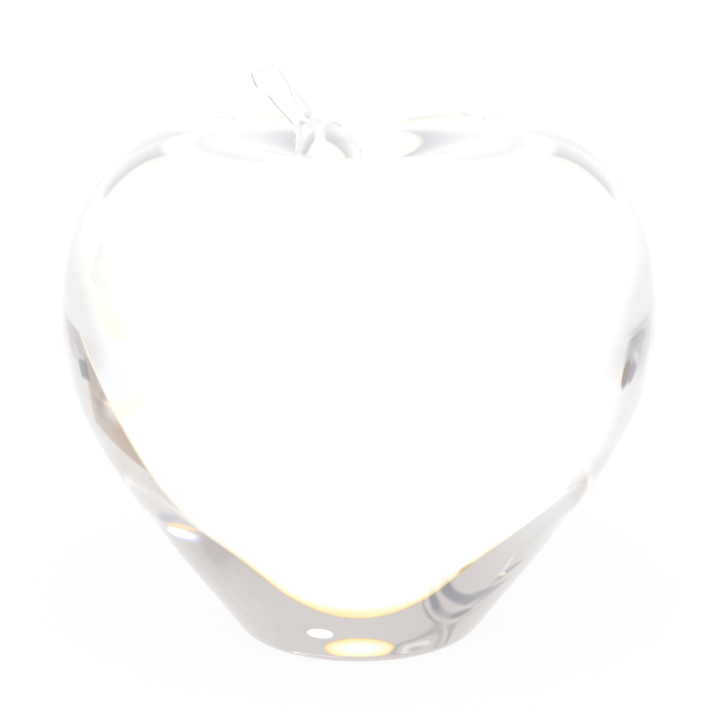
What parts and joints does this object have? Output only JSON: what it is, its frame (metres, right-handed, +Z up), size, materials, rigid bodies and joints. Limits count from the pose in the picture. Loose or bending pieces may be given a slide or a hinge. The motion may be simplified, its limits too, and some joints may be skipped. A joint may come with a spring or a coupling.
{
  "type": "art glass apple paperweight",
  "caption": "Solid clear crystal apple with a dimpled top, a flat ground foot and a leaning glass stem fused into the dimple.",
  "frame": {"origin": "centre of the flat ground foot, on the surface that the apple stands on", "axes": "+Z up along the apple's turned axis; -X is the side that the stem leans to; the picture looks along +Y"},
  "size_m": [0.097, 0.097, 0.0957],
  "materials": {
    "body_crystal": "fire-polished clear crystal with a ground and polished foot",
    "stem_crystal": "fire-polished clear crystal, hot-worked"
  },
  "bodies": {
    "root": {"apple_body": "body_crystal", "stem": "stem_crystal"}
  },
  "joints": []
}
